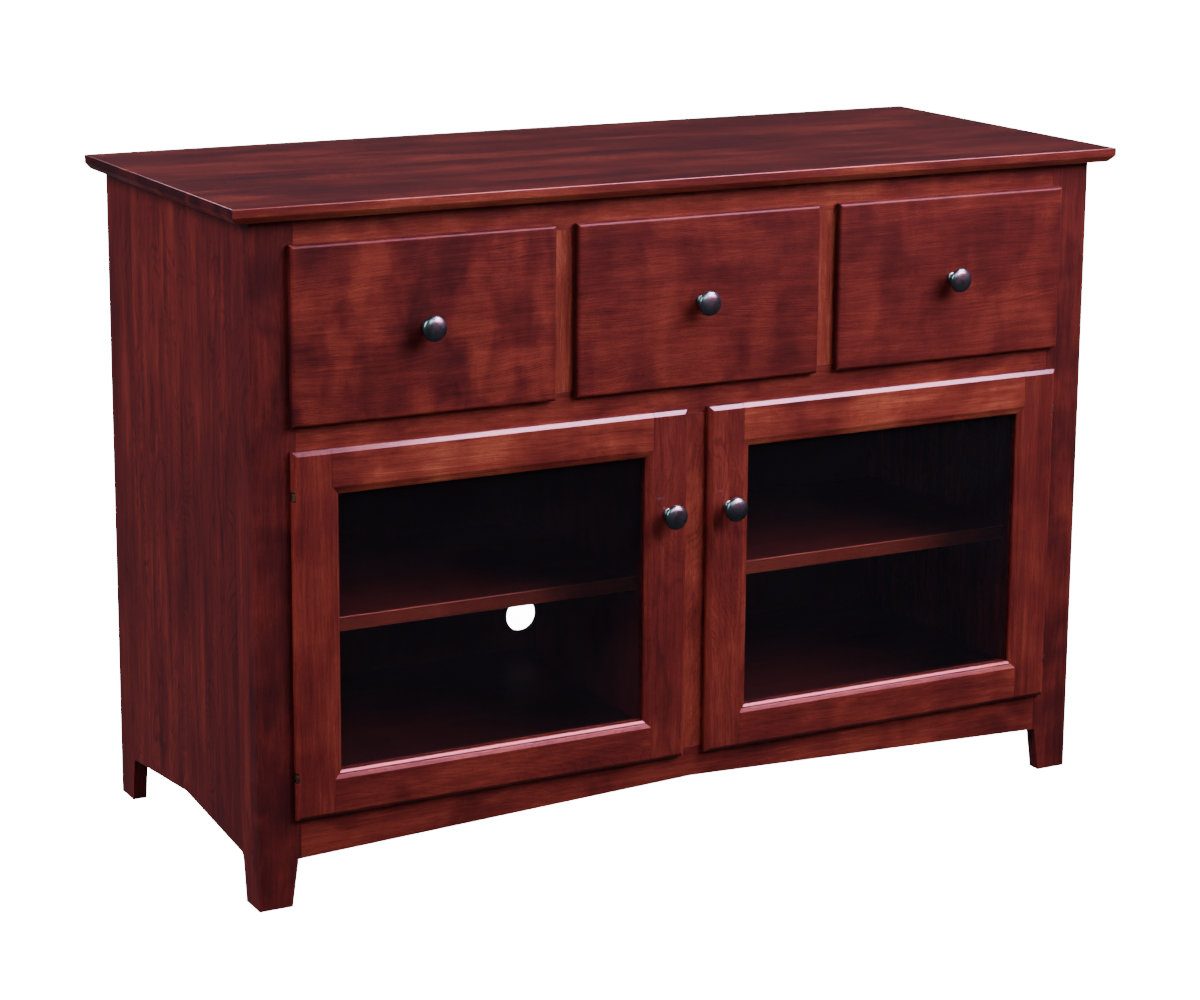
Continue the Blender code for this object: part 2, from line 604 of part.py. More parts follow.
def build_drawer(word, x):
    """One drawer: a lipped front, two grooved sides, a notched back, a bottom and a knob."""
    slide = make_empty(f"drawer_{word}_slide", (x, 0.0, DRAWER_BOTTOM), CABINET)
    half = DRAWER_WIDTH / 2
    loops = []
    for inset, y in drawer_section():
        loops.append(upright_loop(x - half + inset, x + half - inset, DRAWER_BOTTOM + inset,
                                  DRAWER_TOP - inset, y))
    finish(f"drawer_{word}_front", loft_mesh(loops, ring=False), CHERRY_DARK, slide)

    box_front = FRONT_BACK_Y + GAP
    low = DRAWER_OPENING_BOTTOM + GAP
    high = low + DRAWER_SIDE_HEIGHT
    floor_low = low + DRAWER_FLOOR_LIFT
    floor_high = floor_low + DRAWER_FLOOR_THICKNESS
    outer = DRAWER_BODY_HALF
    inner = outer - DRAWER_SIDE_THICKNESS
    groove = inner + DRAWER_GROOVE_DEPTH
    for side, hand in ((-1, "left"), (1, "right")):
        section = [(outer, low), (outer, high), (inner, high), (inner, floor_high + GAP),
                   (groove, floor_high + GAP), (groove, floor_low - GAP), (inner, floor_low - GAP),
                   (inner, low)]
        section = [(x + side * across, z) for across, z in section]
        add_outline(f"drawer_{word}_side_{hand}", section, "y", box_front, DRAWER_BOX_BACK,
                    MAPLE, slide)

    back_front = DRAWER_BOX_BACK - DRAWER_SIDE_THICKNESS
    reach = inner - GAP
    notch = GUIDE_WIDTH / 2 + GUIDE_CLEARANCE
    notch_top = DRAWER_OPENING_BOTTOM + GAP + GUIDE_HEIGHT + GUIDE_CLEARANCE
    outline = [(x - reach, low), (x - notch, low), (x - notch, notch_top), (x + notch, notch_top),
               (x + notch, low), (x + reach, low), (x + reach, high - DRAWER_BACK_DROP),
               (x - reach, high - DRAWER_BACK_DROP)]
    add_outline(f"drawer_{word}_back", outline, "y", back_front, DRAWER_BOX_BACK, MAPLE, slide)
    add_board(f"drawer_{word}_bottom", (x - groove + GAP, box_front, floor_low),
              (x + groove - GAP, back_front - GAP, floor_high), MAPLE, slide)
    add_knob(f"drawer_{word}_knob", x, (DRAWER_BOTTOM + DRAWER_TOP) / 2, slide)
    guide_low = DRAWER_OPENING_BOTTOM + GAP
    add_board(f"drawer_{word}_guide", (x - GUIDE_WIDTH / 2, STOCK + GAP, guide_low),
              (x + GUIDE_WIDTH / 2, BACK_Y - GAP, guide_low + GUIDE_HEIGHT), MAPLE, CABINET)


# ---- Build ----------------------------------------------------------------------------------

reset_scene()
CHERRY = make_material("cherry", (0.19, 0.034, 0.020), 0.35)
CHERRY_DARK = make_material("cherry_drawer_fronts", (0.14, 0.022, 0.017), 0.32)
CHERRY_INSIDE = make_material("cherry_inside", (0.10, 0.022, 0.016), 0.45)
MAPLE = make_material("drawer_maple", (0.62, 0.45, 0.28), 0.5)
GLASS = make_material("glass", (0.75, 0.80, 0.80), 0.05)
PEWTER = make_material("pewter", (0.16, 0.15, 0.15), 0.38, metallic=1.0)
NICKEL = make_material("nickel", (0.55, 0.52, 0.45), 0.3, metallic=1.0)

CABINET = make_empty("cabinet", (0.0, FRAME_Y, 0.0))
build_top()
build_sides()
build_face_frame()
build_interior()
for hand_side, hand_word in ((-1, "left"), (1, "right")):
    build_door(hand_side, hand_word)
for column, drawer_word in enumerate(("left", "centre", "right")):
    build_drawer(drawer_word, (column - 1) * DRAWER_PITCH)
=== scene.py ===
"""Looks of the console television cabinet: stained cherry, glass and metal around the frame.

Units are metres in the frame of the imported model: +Z is up, the floor is z = 0 and the cabinet
faces -Y.  Places are worked out from the boxes of the frame's own nodes.
"""
import json
import math
import random
from collections import namedtuple

import bmesh
import bpy
from mathutils import Matrix, Vector
from mathutils.bvhtree import BVHTree


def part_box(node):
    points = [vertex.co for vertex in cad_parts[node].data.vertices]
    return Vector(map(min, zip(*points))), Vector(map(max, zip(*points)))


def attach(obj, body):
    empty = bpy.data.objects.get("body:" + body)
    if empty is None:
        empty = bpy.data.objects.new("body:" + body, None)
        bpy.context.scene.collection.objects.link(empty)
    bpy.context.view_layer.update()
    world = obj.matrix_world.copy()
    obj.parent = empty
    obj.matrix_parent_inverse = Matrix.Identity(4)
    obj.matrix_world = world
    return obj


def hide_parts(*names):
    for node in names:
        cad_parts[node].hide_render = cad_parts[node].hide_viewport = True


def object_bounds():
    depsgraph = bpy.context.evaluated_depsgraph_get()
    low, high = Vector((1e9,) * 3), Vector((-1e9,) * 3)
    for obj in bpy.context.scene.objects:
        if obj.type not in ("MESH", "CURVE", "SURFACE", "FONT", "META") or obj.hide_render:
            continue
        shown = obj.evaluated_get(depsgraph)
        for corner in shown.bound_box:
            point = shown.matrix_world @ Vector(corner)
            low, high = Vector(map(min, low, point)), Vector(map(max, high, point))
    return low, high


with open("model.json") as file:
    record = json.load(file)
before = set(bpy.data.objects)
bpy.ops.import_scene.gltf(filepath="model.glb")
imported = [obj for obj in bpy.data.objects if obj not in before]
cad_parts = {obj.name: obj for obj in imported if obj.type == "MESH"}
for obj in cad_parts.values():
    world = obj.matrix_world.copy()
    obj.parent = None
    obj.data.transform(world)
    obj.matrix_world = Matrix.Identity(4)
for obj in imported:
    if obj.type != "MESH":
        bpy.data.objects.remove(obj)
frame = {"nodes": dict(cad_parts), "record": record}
CAD_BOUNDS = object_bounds()
NODE_BODY = {node: body for body, nodes in frame["record"]["behaviour"]["bodies"].items()
             for node in nodes}

# ---- Sizes of the boards' edges and grain ---------------------------------------------------

ARRIS = 0.0007                  # softened free edges of the boards
DOOR_ARRIS = 0.0005
STOP_ARRIS = 0.0004
SHELF_ARRIS = 0.0012
THIN_ARRIS = 0.0003             # back panel and drawer bottoms
JOINT_ARRIS = 0.00012           # edges that meet a neighbour
JOINT_REACH = 0.0011            # a neighbour this close makes an edge a joint
JOINT_STEP = 0.02               # between the places where an edge looks for a neighbour
ARRIS_STEPS = 3
SHARP_ANGLE = math.radians(28)
FLAT_ANGLE = math.radians(0.6)  # faces that turn less than this are one flat face
WELD_DISTANCE = 0.00002

GRAIN_PLACES = ((-5.0, 5.0), (-0.08, 0.08), (0.02, 0.16))   # where in a tree a board is cut
RING_TILT = 0.08                # steepest slope of a board's rings along its length
SANDED_AND_HIGHLIGHT_TONE = 0.06              # how much lighter an eased edge is: sanding wear and a painted highlight
SANDED_AND_HIGHLIGHT_SLANT = 0.1              # faces this far off square get the tone of sanding wear and painted highlight
END_GRAIN_TONE = -0.40
FACING_POWER = 3                # keeps a tone to the faces that look straight one way

# ---- Sizes of the metal pieces --------------------------------------------------------------

KNOB_SEGMENTS = 64
KNOB_SUBSTEPS = 4
KNOB_DIGITS = 5                 # rows of the CAD knob are told apart by this many decimals
KNOB_SCREW_RADIUS = 0.0042
KNOB_SCREW_HEIGHT = 0.0022

SCREW_SEGMENTS = 16
# Across and up the domed head, as parts of its radius and height.
SCREW_PROFILE = ((1.0, 0.0), (1.0, 0.25), (0.88, 0.70), (0.66, 0.92), (0.52, 0.98), (0.20, 1.0))
SCREW_RECESS = 0.55             # depth of the cross, as a part of the head's height

LEAF_SCREW_RADIUS = 0.0034
LEAF_SCREW_HEIGHT = 0.0014
LEAF_SCREW_SPREAD = 0.014       # up and down from the middle of the hinge
DOOR_SCREW_SHIFT = 0.006        # from the middle of the door's leaf, away from its pin
FRAME_SCREW_MARGIN = 0.0045     # from the back edge of the frame's leaf, clear of the door
LEAF_ARRIS = 0.0004
LEAF_ARRIS_STEPS = 2

BACK_SCREW_RADIUS = 0.0036
BACK_SCREW_HEIGHT = 0.0012
BACK_SCREW_MARGIN = 0.008
BACK_SCREWS_ACROSS = 7
BACK_SCREWS_UPRIGHT = 5

PIN_RADIUS = 0.0025             # shelf pins
PIN_LENGTH = 0.009
PIN_CHAMFER = 0.0004
PIN_SETBACK = 0.035             # from the shelf's front and back edges

# ---- Places and strengths of the camera and stage -------------------------------------------

CAMERA_PLACE = (-1.8789, -3.4715, 1.3938)
CAMERA_YAW = 0.49277            # radians, from +Y towards +X
CAMERA_PITCH = -0.21249         # radians, up from level
CAMERA_ROLL = -0.00732          # radians
CAMERA_LENS = 91.56             # millimetres, as the sensor
CAMERA_SENSOR = 36.0
CAMERA_SHIFT_Y = -0.09          # of the sensor's width
CAMERA_NEAR = 0.05

STAGE_RADIUS = 40.0
DOME_SEGMENTS = 48
FLOOR_GLOW = 19.5               # bright enough to come out white, as the backdrop is
BACKDROP_GLOW = 17.5
STUDIO_COLOUR = (1.0, 0.78, 1.0, 1.0)
STUDIO_GLOW = 0.075


# ---- Node trees -----------------------------------------------------------------------------

class Nodes:
    """A material's node tree, built one short call at a time."""

    def __init__(self, name):
        self.material = bpy.data.materials.new(name)
        self.material.use_nodes = True
        self.tree = self.material.node_tree
        self.shader = self.tree.nodes["Principled BSDF"]

    def feed(self, socket, value):
        """Link a socket to another one, or set its value."""
        if isinstance(value, bpy.types.NodeSocket):
            self.tree.links.new(value, socket)
        else:
            socket.default_value = value

    def add(self, kind, inputs=None, **settings):
        node = self.tree.nodes.new("ShaderNode" + kind)
        for key, value in settings.items():
            setattr(node, key, value)
        for key, value in (inputs or {}).items():
            self.feed(node.inputs[key], value)
        return node

    def attribute(self, name, output):
        return self.add("Attribute", attribute_name=name).outputs[output]

    def object_place(self):
        return self.add("TexCoord").outputs["Object"]

    def math(self, operation, a, b=0.0):
        return self.add("Math", {0: a, 1: b}, operation=operation).outputs[0]

    def stretch(self, vector, factors):
        """Scale a vector, so that a texture on it is long where the factor is small."""
        return self.add("VectorMath", {0: vector, 1: factors}, operation="MULTIPLY").outputs[0]

    def shift(self, vector, offset):
        return self.add("VectorMath", {0: vector, 1: offset}, operation="ADD").outputs[0]

    def noise(self, vector, factors, detail=2.0, roughness=0.5, distortion=0.0, output="Fac"):
        """A noise texture with about as many features in a metre, each way, as its factors."""
        values = {"Vector": self.stretch(vector, factors), "Scale": 1.0, "Detail": detail,
                  "Roughness": roughness, "Distortion": distortion}
        return self.add("TexNoise", values).outputs[output]

    def weigh(self, *terms):
        """Sum of (texture - 0.5) x weight, around zero."""
        total = None
        for texture, weight in terms:
            centred = self.math("MULTIPLY", self.math("SUBTRACT", texture, 0.5), weight)
            total = centred if total is None else self.math("ADD", total, centred)
        return total

    def span(self, value, low, high, to_low=0.0, to_high=1.0):
        """Map a value from low..high to to_low..to_high, and clamp it there."""
        values = {"Value": value, "From Min": low, "From Max": high, "To Min": to_low,
                  "To Max": to_high}
        return self.add("MapRange", values).outputs[0]

    def ramp(self, value, stops):
        node = self.add("ValToRGB", {0: value})
        elements = node.color_ramp.elements
        while len(elements) < len(stops):
            elements.new(1.0)
        for element, (place, colour) in zip(elements, stops):
            element.position = place
            element.color = (*colour, 1.0)
        return node.outputs[0]

    def mix(self, colour, amount, shade):
        """Mix a colour towards a shade by an amount from 0 to 1."""
        node = self.add("Mix", {0: amount, 6: colour, 7: (*shade, 1.0)}, data_type="RGBA")
        return node.outputs[2]

    def bump(self, height, strength, distance):
        values = {"Height": height, "Strength": strength, "Distance": distance}
        self.feed(self.shader.inputs["Normal"], self.add("Bump", values).outputs[0])

    def finish(self, **values):
        """Set the shader's own sockets, by their names with underscores for spaces."""
        for key, value in values.items():
            self.feed(self.shader.inputs[key.replace("_", " ")], value)
        return self.material


# ---- Wood -----------------------------------------------------------------------------------

# Colours of the stain from the darkest pores to the lightest wood.
CHERRY_STOPS = [(0.00, (0.022, 0.0042, 0.0058)), (0.30, (0.062, 0.0082, 0.0092)),
                (0.55, (0.130, 0.0165, 0.0140)), (0.80, (0.245, 0.0400, 0.0255)),
                (1.00, (0.385, 0.0900, 0.0500))]
MAPLE_STOPS = [(0.00, (0.330, 0.190, 0.085)), (0.40, (0.520, 0.350, 0.190)),
               (0.70, (0.640, 0.470, 0.285)), (1.00, (0.730, 0.570, 0.380))]

# How many of each feature there are in a metre along, across and into a board.
STREAKS = (3.0, 34.0, 34.0)
BANDS = (19.0, 6.5, 6.5)
THREADS = (7.0, 170.0, 170.0)
FIBRES = (26.0, 560.0, 560.0)
PORES = (190.0, 2600.0, 2600.0)
BENDS = (2.6, 7.0, 7.0)
RINGS = 260.0                   # out from the pith

RING_SWAY = 0.09                # how far the rings bend to and fro along the board
RING_RAGGEDNESS = 0.0016        # how far the fibres pull a ring about
STAVE_SLIP = 0.05               # part of a stave's shift that goes across and into it
PORE_SHADE = 0.35               # of the darkest stain's colour
RELIEF = 0.0004                 # how high 1 stands in the bump
FIBRE_RELIEF = 0.4              # of that
WOOD_ROUGHNESS = 0.42
WOOD_SPECULAR = 0.10
VARNISH_ROUGHNESS = 0.14
VARNISH_IOR = 1.45

Strengths = namedtuple("Strengths", "streaks blotches bands rings fibres")


def glued_up(n, grain, tone, stave, stave_tone, stave_shift):
    """Give each stave of a wide panel a figure and a tone of its own."""
    across = n.add("SeparateXYZ", {0: grain}).outputs["Y"]
    number = n.math("FLOOR", n.math("DIVIDE", across, stave))
    luck = n.add("TexWhiteNoise", {"W": number}, noise_dimensions="1D")
    slip = STAVE_SLIP * stave_shift
    grain = n.shift(grain, n.stretch(luck.outputs["Color"], (stave_shift, slip, slip)))
    tone = n.math("ADD", tone, n.weigh((luck.outputs["Value"], stave_tone)))
    return grain, tone


def growth_rings(n, grain, fibres):
    """Dark late wood around a pith that lies along the board and sways a little."""
    bends = n.noise(grain, BENDS, output="Color")
    sway = n.stretch(n.shift(bends, (-0.5, -0.5, -0.5)), (0.0, RING_SWAY, RING_SWAY))
    from_pith = n.stretch(n.shift(grain, sway), (0.0, 1.0, 1.0))
    radius = n.add("VectorMath", {0: from_pith}, operation="LENGTH").outputs["Value"]
    ragged = n.math("ADD", radius, n.weigh((fibres, RING_RAGGEDNESS)))
    growth = n.add("TexNoise", {"W": n.math("MULTIPLY", ragged, RINGS), "Detail": 3.0,
                                "Roughness": 0.6}, noise_dimensions="1D").outputs["Fac"]
    return n.span(growth, 0.60, 0.51)


def wood(name, stops, strengths, patch=(10.0, 15.0), stave=0.0, stave_tone=0.10,
         stave_shift=3.0, coat=0.5):
    """Stained wood whose figure follows the "grain" attribute: along, across and into a board.

    strengths says how much each feature shows, and patch how many blotches there are in a
    metre, along and across the grain.
    stave is the width of the boards that a wide panel is glued up from, or 0 for one board;
    stave_tone is how much they differ, and stave_shift how far their figures are apart.
    """
    n = Nodes(name)
    grain = n.attribute("grain", "Vector")
    tone = n.attribute("tone", "Fac")
    figure = n.attribute("figure", "Fac")
    if stave:
        grain, tone = glued_up(n, grain, tone, stave, stave_tone, stave_shift)
    streaks = n.noise(grain, STREAKS, detail=4.0, roughness=0.58, distortion=0.5)
    clouds = n.noise(grain, (patch[0], patch[1], patch[1]), detail=4.0, distortion=0.35)
    blotches = n.span(clouds, 0.42, 0.58)
    bands = n.span(n.noise(grain, BANDS, detail=3.0, distortion=0.4), 0.38, 0.62)
    threads = n.noise(grain, THREADS, detail=3.0, roughness=0.6, distortion=0.3)
    fibres = n.noise(grain, FIBRES, detail=4.0, roughness=0.6)
    rings = growth_rings(n, grain, fibres)

    patches = n.weigh((blotches, strengths.blotches), (bands, strengths.bands))
    lines = n.weigh((streaks, strengths.streaks), (rings, strengths.rings),
                    (fibres, strengths.fibres), (threads, strengths.fibres))
    value = n.math("ADD", n.math("ADD", n.math("MULTIPLY", patches, figure), lines),
                   n.math("ADD", tone, 0.5))
    pores = n.span(n.noise(grain, PORES, detail=1.0), 0.60, 0.70)
    pore_depth = n.math("MULTIPLY", pores, n.span(fibres, 0.40, 0.60, to_low=0.15, to_high=0.75))
    darkest = stops[0][1]
    colour = n.mix(n.ramp(value, stops), pore_depth, [PORE_SHADE * part for part in darkest])
    height = n.math("SUBTRACT", n.math("MULTIPLY", fibres, FIBRE_RELIEF), pore_depth)
    n.bump(height, strength=0.10, distance=RELIEF)
    rough = n.math("ADD", n.weigh((fibres, 0.16), (streaks, 0.10)), WOOD_ROUGHNESS)
    return n.finish(Base_Color=colour, Roughness=rough, Specular_IOR_Level=WOOD_SPECULAR,
                    Coat_Weight=coat, Coat_Roughness=VARNISH_ROUGHNESS, Coat_IOR=VARNISH_IOR)


# ---- Metal and glass ------------------------------------------------------------------------

BRUSH_LINES = (3, 16, 3)        # brush lines for each patch of the patina, each way
BRUSH_RELIEF = 0.0002
DUST = (5.0, 5.0, 9.0)          # clouds of dust in a metre of glass


def metal(name, shade, light, roughness, patches):
    """Brushed metal with a worn patina that runs between two colours, patches to a metre."""
    n = Nodes(name)
    place = n.object_place()
    patina = n.noise(place, (patches, patches, patches), detail=4.0, roughness=0.6,
                     distortion=0.5)
    brush = n.noise(place, [patches * count for count in BRUSH_LINES], roughness=0.6)
    colour = n.ramp(n.span(patina, 0.3, 0.7), [(0.0, shade), (1.0, light)])
    rough = n.math("ADD", n.weigh((patina, 0.20), (brush, 0.16)), roughness)
    n.bump(brush, strength=0.08, distance=BRUSH_RELIEF)
    return n.finish(Base_Color=colour, Metallic=1.0, Roughness=rough)


def glass(name):
    """Clear pane: mostly see-through, with a faint film of dust."""
    n = Nodes(name)
    film = n.noise(n.object_place(), DUST, detail=3.0, roughness=0.6, distortion=1.0)
    colour = n.ramp(film, [(0.3, (0.018, 0.018, 0.028)), (0.8, (0.034, 0.030, 0.044))])
    rough = n.span(film, 0.3, 0.8, to_low=0.02, to_high=0.07)
    return n.finish(Base_Color=colour, Roughness=rough, Alpha=0.10, IOR=1.5)


CHERRY = wood(
    "cherry", CHERRY_STOPS,
    Strengths(streaks=0.50, blotches=0.18, bands=0.10, rings=0.11, fibres=0.42))
CHERRY_PANEL = wood(
    "cherry_panel", CHERRY_STOPS,
    Strengths(streaks=0.62, blotches=0.24, bands=0.06, rings=0.14, fibres=0.46),
    patch=(4.0, 16.0), stave=0.115, coat=0.52)
CHERRY_FRONT = wood(
    "cherry_front", CHERRY_STOPS,
    Strengths(streaks=0.36, blotches=0.20, bands=0.16, rings=0.24, fibres=0.34),
    patch=(14.0, 10.0), stave=0.078, stave_tone=0.08, stave_shift=0.015, coat=0.04)
CHERRY_INSIDE = wood(
    "cherry_inside", CHERRY_STOPS,
    Strengths(streaks=0.14, blotches=0.08, bands=0.04, rings=0.04, fibres=0.10), coat=0.1)
MAPLE = wood(
    "maple", MAPLE_STOPS,
    Strengths(streaks=0.40, blotches=0.06, bands=0.03, rings=0.12, fibres=0.30), coat=0.3)
PEWTER = metal("pewter", shade=(0.088, 0.160, 0.160), light=(0.116, 0.206, 0.206),
               roughness=0.29, patches=40.0)
NICKEL = metal("nickel", shade=(0.30, 0.26, 0.15), light=(0.58, 0.52, 0.34),
               roughness=0.28, patches=120.0)
GLASS = glass("pane")


# ---- Boards ---------------------------------------------------------------------------------

def all_nodes_tree():
    """A search tree over every CAD solid, with the node that each face belongs to."""
    points = []
    faces = []
    owners = []
    for name, node in frame["nodes"].items():
        start = len(points)
        points.extend(vertex.co.copy() for vertex in node.data.vertices)
        for face in node.data.polygons:
            faces.append([start + index for index in face.vertices])
            owners.append(name)
    return BVHTree.FromPolygons(points, faces), owners


NEIGHBOURS, FACE_OWNERS = all_nodes_tree()


def meets_neighbour(name, start, end):
    """Whether an edge runs against another solid anywhere between its ends."""
    steps = max(2, int((end - start).length / JOINT_STEP))
    for i in range(steps):
        point = start.lerp(end, (i + 0.5) / steps)
        for _, _, index, _ in NEIGHBOURS.find_nearest_range(point, JOINT_REACH):
            if FACE_OWNERS[index] != name:
                return True
    return False


def clean_mesh(name):
    """The CAD node's shape with its flat faces whole again."""
    bm = bmesh.new()
    bm.from_mesh(frame["nodes"][name].data)
    bmesh.ops.remove_doubles(bm, verts=bm.verts, dist=WELD_DISTANCE)
    bmesh.ops.dissolve_limit(bm, angle_limit=FLAT_ANGLE, verts=bm.verts, edges=bm.edges)
    return bm


def apply_modifiers(piece):
    """Put what the piece's modifiers make into its mesh, and take them off."""
    shape = bpy.data.meshes.new_from_object(
        piece.evaluated_get(bpy.context.evaluated_depsgraph_get()))
    piece.modifiers.clear()
    piece.data = shape


def write_grain(mesh, order, seed, tone, figure, painted_edge_light, sanded_and_highlight):
    """Write where each point is in the board, and how light or dark each face is made by the
    stain and by painted light.

    End grain drinks more stain and is darker. Eased edges and chamfers are made lighter, partly
    as sanding wear and partly as a painted highlight, and the long edges, which are as wide as
    the board is thick, can be given painted light of their own.
    """
    luck = random.Random(seed)
    offset = [luck.uniform(*reach) for reach in GRAIN_PLACES]
    tilt = luck.uniform(-RING_TILT, RING_TILT)
    picks = ["xyz".index(letter) for letter in order]
    places = []
    for vertex in mesh.vertices:
        along, across, into = [vertex.co[pick] for pick in picks]
        places.extend((along + offset[0], across + offset[1], into + tilt * along + offset[2]))
    mesh.attributes.new("grain", "FLOAT_VECTOR", "POINT").data.foreach_set("vector", places)
    tones = []
    for face in mesh.polygons:
        squareness = max(abs(part) for part in face.normal)
        slanted = min(1.0, (1.0 - squareness) / SANDED_AND_HIGHLIGHT_SLANT)
        # eased faces: sanding wear and a painted highlight; long edges: painted light
        tones.append(tone + sanded_and_highlight * slanted
                     + END_GRAIN_TONE * abs(face.normal[picks[0]]) ** FACING_POWER
                     + painted_edge_light * abs(face.normal[picks[1]]) ** FACING_POWER)
    mesh.attributes.new("tone", "FLOAT", "FACE").data.foreach_set("value", tones)
    figures = [figure] * len(mesh.polygons)
    mesh.attributes.new("figure", "FLOAT", "FACE").data.foreach_set("value", figures)


def show_piece(name, mesh, material, body, replaced=None):
    """Link a finished mesh that moves with a body, in place of a CAD node if one is named."""
    piece = bpy.data.objects.new(name, mesh)
    bpy.context.scene.collection.objects.link(piece)
    mesh.materials.clear()
    mesh.materials.append(material)
    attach(piece, body)
    if replaced:
        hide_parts(replaced)
    return piece


def smooth(mesh):
    """Shade a mesh smooth, but for its sharp edges."""
    mesh.shade_smooth()
    mesh.set_sharp_from_angle(angle=SHARP_ANGLE)


def board(name, order, material, tone=0.0, figure=1.0, arris=ARRIS, painted_edge_light=0.0,
          sanded_and_highlight=SANDED_AND_HIGHLIGHT_TONE):
    """Put a finished board in place of a CAD node, with its edges eased where they stand free.

    order names the axes that run along, across and into the board.  tone is how much lighter the
    stain is, and figure how strong its blotches are; the dark tones of the cabinet floor and
    back panel are painted shade. The long edges can be given painted light, and the eased edges
    a tone of sanding wear and painted highlight.
    the stain is, and figure how strong its blotches are.
    """
    bm = clean_mesh(name)
    layer = bm.edges.layers.float.new("bevel_weight_edge")
    for edge in bm.edges:
        if edge.calc_face_angle(0.0) > SHARP_ANGLE:
            joint = meets_neighbour(name, edge.verts[0].co, edge.verts[1].co)
            edge[layer] = JOINT_ARRIS / arris if joint else 1.0
    mesh = bpy.data.meshes.new(name + "_wood")
    bm.to_mesh(mesh)
    bm.free()
    piece = show_piece(name + "_wood", mesh, material, NODE_BODY[name], name)
    ease = piece.modifiers.new("ease", "BEVEL")
    ease.limit_method = "WEIGHT"
    ease.width = arris
    ease.segments = ARRIS_STEPS
    smooth(mesh)
    weigh = piece.modifiers.new("weigh", "WEIGHTED_NORMAL")
    weigh.keep_sharp = True
    apply_modifiers(piece)
    write_grain(piece.data, order, name, tone, figure, painted_edge_light, sanded_and_highlight)


def build_case():
    # The top's long edges are painted lighter, as the key light on its front edge; its eased
    # edges carry sanding wear and a painted highlight line.
    board("top_panel", "xyz", CHERRY_PANEL, tone=-0.01, painted_edge_light=0.17, sanded_and_highlight=0.26)
    for word in ("left", "right"):
        board(f"side_panel_{word}", "zyx", CHERRY_PANEL, tone=-0.04, figure=0.55)
    for node, tone in (("front_stile_left", -0.18), ("front_stile_right", -0.14),
                       ("centre_stile", 0.14)):
        board(node, "zxy", CHERRY, tone=tone)
    for word in ("left", "right"):
        board(f"drawer_stile_{word}", "zxy", CHERRY, tone=0.25, figure=0.5)
    for word, tone in (("top", 0.12), ("middle", 0.08), ("bottom", -0.01)):
        board(f"{word}_rail", "xzy", CHERRY, tone=tone)
    board("centre_partition", "zyx", CHERRY_INSIDE)
    # The floor inside is painted darker, as painted shade of the closed cabinet.
    board("cabinet_floor", "xyz", CHERRY_INSIDE, tone=-0.34)
    board("dust_panel", "xyz", CHERRY_INSIDE)
    # The back panel is painted darker, as painted shade inside the cabinet.
    board("back_panel", "zxy", CHERRY_INSIDE, tone=-0.30, arris=THIN_ARRIS)
    # Each shelf's front and back edges are painted lighter, as the light on its front edge, and
    # its eased edges carry a strong painted highlight line.
    for word in ("left", "right"):
        board(f"shelf_{word}", "xyz", CHERRY_INSIDE, arris=SHELF_ARRIS,
              painted_edge_light=0.20, sanded_and_highlight=0.55)


def build_drawers():
    for word, figure in (("left", 1.2), ("centre", 0.7), ("right", 0.7)):
        board(f"drawer_{word}_front", "xzy", CHERRY_FRONT, tone=-0.09,
              figure=figure)
        for side in ("left", "right"):
            board(f"drawer_{word}_side_{side}", "yzx", MAPLE)
        board(f"drawer_{word}_back", "xzy", MAPLE)
        board(f"drawer_{word}_bottom", "xyz", MAPLE, arris=THIN_ARRIS)
        board(f"drawer_{word}_guide", "yxz", MAPLE)


def build_doors():
    for word, hinge_tone, knob_tone in (("left", 0.04, -0.05), ("right", 0.0, 0.04)):
        for part, order, tone, figure in (("hinge_stile", "zxy", hinge_tone, 0.5),
                                          ("knob_stile", "zxy", knob_tone, 0.5),
                                          ("top_rail", "xzy", 0.14, 1.2),
                                          ("bottom_rail", "xzy", 0.04, 0.8)):
            board(f"door_{word}_{part}", order, CHERRY, tone=tone, figure=figure,
                  arris=DOOR_ARRIS)
        board(f"door_{word}_glass_stop", "xzy", CHERRY, arris=STOP_ARRIS)


# ---- Metal pieces ---------------------------------------------------------------------------

def turned(bm, profile, place, axis, segments):
    """Add a turned solid to a bmesh: (radius, distance) points around an axis from a place."""
    turn = Vector(axis).to_track_quat("Z", "X").to_matrix()
    rows = []
    for radius, distance in profile:
        row = []
        for i in range(segments):
            angle = 2 * math.pi * i / segments
            point = Vector((radius * math.cos(angle), radius * math.sin(angle), distance))
            row.append(bm.verts.new(Vector(place) + turn @ point))
        rows.append(row)
    for near, far in zip(rows, rows[1:]):
        for i in range(segments):
            j = (i + 1) % segments
            bm.faces.new((near[i], near[j], far[j], far[i]))
    bm.faces.new(rows[0])
    bm.faces.new(rows[-1])


def metal_piece(name, bm, material, body, replaced=None):
    bmesh.ops.recalc_face_normals(bm, faces=bm.faces[:])
    mesh = bpy.data.meshes.new(name)
    bm.to_mesh(mesh)
    bm.free()
    smooth(mesh)
    show_piece(name, mesh, material, body, replaced)


def smooth_profile(points, steps):
    """Round a profile with a Catmull-Rom curve through its points."""
    ends = [points[0]] + points + [points[-1]]
    curve = []
    for before, start, end, after in zip(ends, ends[1:], ends[2:], ends[3:]):
        for step in range(steps):
            t = step / steps
            curve.append([0.5 * (2 * b + (c - a) * t + (2 * a - 5 * b + 4 * c - d) * t ** 2
                                 + (3 * b - a - 3 * c + d) * t ** 3)
                          for a, b, c, d in zip(before, start, end, after)])
    return curve + [points[-1]]


